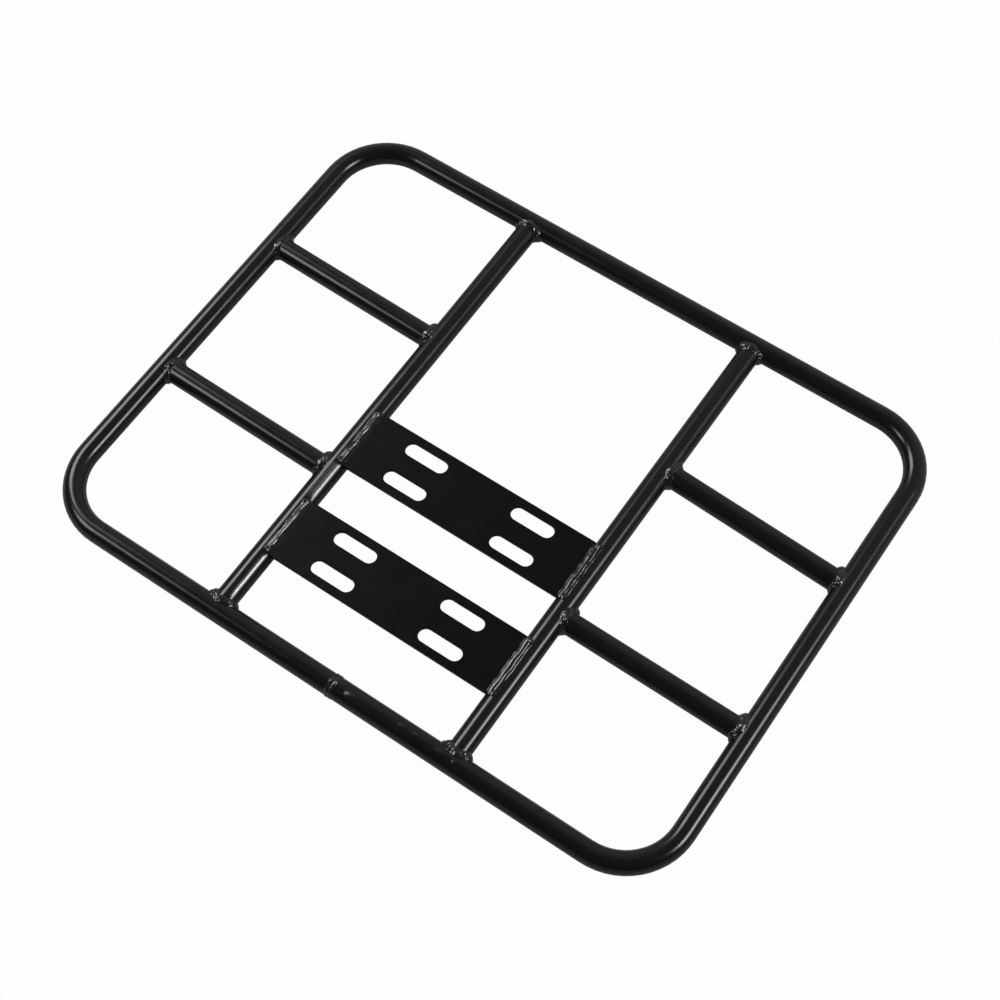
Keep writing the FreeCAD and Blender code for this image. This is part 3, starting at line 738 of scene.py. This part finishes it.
for number, (plate, middle) in enumerate(PLATE_PLACES.items()):
    for side, sign, heading in (("left", -1, 0.0), ("right", 1, 180.0)):
        node = f"{plate}_{side}_weld"
        seed = 500 + 20 * number + (10 if sign > 0 else 0)
        bead = plate_bead(node + "_bead", side, sign * RAIL_X, middle, heading, seed)
        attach(bead, "root")
        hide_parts(node)
print("made 4 plate beads of", len(bead.data.polygons), "faces")

# %% [markdown]
# The ring is closed by a butt weld in its front side.
# It is a low collar round the tube, with two rounded ridges and a groove between
# them. A torus would be too even, so the collar is built ring by ring, and can
# wander round the tube and fade out at both of its edges.

# %% Collar of the butt weld
COLLAR_X = 2.0
COLLAR_HALF = 3.0
COLLAR_RISE = 0.88
COLLAR_TURNS = 200
COLLAR_ACROSS = 20
# Two ridges: where each lies across the collar (-1 to 1), its half width and its share of the rise.
COLLAR_RIDGES = ((-0.44, 0.36, 0.76), (0.52, 0.30, 0.72))


def collar():
    """The raised bead round the tube where the ring's ends meet."""
    shift = wander(901, (1, 2, 3, 5))
    swell = wander(902, (2, 3, 5, 8))
    steps = wander(903, (2, 5, 7))
    rings = []
    for number in range(COLLAR_TURNS):
        turn = 2 * math.pi * number / COLLAR_TURNS
        out = Vector((0.0, math.cos(turn), math.sin(turn)))
        ring = []
        for step in range(COLLAR_ACROSS + 1):
            across = -1.0 + 2.0 * step / COLLAR_ACROSS
            dome = 1.0 - across * across
            rise = 0.10 * dome
            for place, width, share in COLLAR_RIDGES:
                rise += share * math.exp(-((across - place) / width) ** 2)
            rise = COLLAR_RISE * rise * dome**0.35
            rise *= 0.86 + 0.12 * swell(turn)
            phase = 17 * turn + 1.5 * across + 1.2 * steps(turn)
            rise += 0.06 * math.cos(phase) * dome
            rise = min(rise, COLLAR_RISE)
            x = COLLAR_X + COLLAR_HALF * across + 0.35 * shift(turn) * dome
            point = Vector((x, 0.0, 0.0)) + out * (TUBE_RADIUS + rise)
            point.z = max(point.z, -AXIS_HEIGHT + 0.02)
            ring.append(point)
        ring.append(Vector((COLLAR_X + COLLAR_HALF, 0.0, 0.0)) + out * (TUBE_RADIUS - 0.5))
        ring.append(Vector((COLLAR_X - COLLAR_HALF, 0.0, 0.0)) + out * (TUBE_RADIUS - 0.5))
        rings.append(ring)
    piece = closed_band("ring_butt_weld_collar", rings, weld_paint)
    piece.data.transform(Matrix.Translation(Vector((0.0, -RING_Y, AXIS_HEIGHT)) * MM))
    return piece


butt_collar = collar()
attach(butt_collar, "root")
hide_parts("ring_butt_weld")
print("collar of", len(butt_collar.data.polygons), "faces")

# %% [markdown]
# A few runs of paint beside the butt weld.
# Where the wet powder gathered it left low drops on the tube, one of which
# shines. A flattened ball would show a hard rim, so each run is a small patch of
# the tube's own surface, raised in the middle and sunk into it at the edge.

# %% Paint runs
# Place along x, angle up from the rear side, half length, half width, height, slant and slope.
RUNS = (
    (15.6, 98.0, 4.0, 2.1, 0.62, 14.0, 0.80),
    (84.9, 89.5, 3.6, 1.4, 0.22, 10.0, 0.0),
    (96.6, 96.2, 1.6, 1.5, 0.24, 0.0, 0.0),
    (55.2, 84.4, 2.2, 1.6, 0.18, 12.0, 0.0),
    (66.0, 83.8, 1.9, 1.5, 0.14, 8.0, 0.0),
)
RUN_ROUND = 40
RUN_RINGS = 12
# How deep a run's rim is sunk into the tube, in mm.
RIM_DIP = 0.02


def run_point(run, reach, turn):
    """A point of a run's skin, from its middle (reach 0) to its rim (reach 1)."""
    x, angle, half_length, half_width, height, slant, slope = run
    lean = math.radians(slant)
    along = half_length * reach * math.cos(turn)
    across = half_width * reach * math.sin(turn)
    place = along * math.cos(lean) - across * math.sin(lean)
    arc = along * math.sin(lean) + across * math.cos(lean)
    wrap = math.radians(angle) - arc / TUBE_RADIUS
    dome = (math.cos(math.pi * reach ** (1.0 + slope)) + 1.0) / 2.0
    dome *= 1.0 + slope * reach * math.cos(turn)
    radius = TUBE_RADIUS + height * dome - RIM_DIP * reach
    point = Vector((x + place, radius * math.cos(wrap) - RING_Y, radius * math.sin(wrap) + AXIS_HEIGHT))
    return point * MM


def paint_runs():
    """Low drops of paint on the front tube of the ring, all in one mesh."""
    mesh = bmesh.new()
    for run in RUNS:
        top = mesh.verts.new(run_point(run, 0.0, 0.0))
        rows = []
        for ring in range(1, RUN_RINGS + 1):
            turns = [2 * math.pi * step / RUN_ROUND for step in range(RUN_ROUND)]
            rows.append([mesh.verts.new(run_point(run, ring / RUN_RINGS, turn)) for turn in turns])
        for step in range(RUN_ROUND):
            nxt = (step + 1) % RUN_ROUND
            mesh.faces.new((top, rows[0][step], rows[0][nxt]))
            for inner, outer in zip(rows, rows[1:]):
                mesh.faces.new((inner[step], outer[step], outer[nxt], inner[nxt]))
        sunk = mesh.verts.new(run_point(run, 0.0, 0.0) - Vector((0.0, 0.0, 1.0)) * MM)
        for step in range(RUN_ROUND):
            mesh.faces.new((rows[-1][step], sunk, rows[-1][(step + 1) % RUN_ROUND]))
    bmesh.ops.recalc_face_normals(mesh, faces=mesh.faces)
    for face in mesh.faces:
        face.smooth = True
    data = bpy.data.meshes.new("ring_paint_runs")
    mesh.to_mesh(data)
    mesh.free()
    # The runs' paint carries painted sheen in its paler tone.
    data.materials.append(run_paint_with_painted_sheen)
    piece = bpy.data.objects.new("ring_paint_runs", data)
    bpy.context.scene.collection.objects.link(piece)
    return piece


runs = paint_runs()
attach(runs, "root")
print("made", len(RUNS), "paint runs of", len(runs.data.polygons), "faces in all")

# %% [markdown]
# Last, the scene's colours are shown through the Standard view transform.

bpy.context.scene.view_settings.view_transform = "Standard"
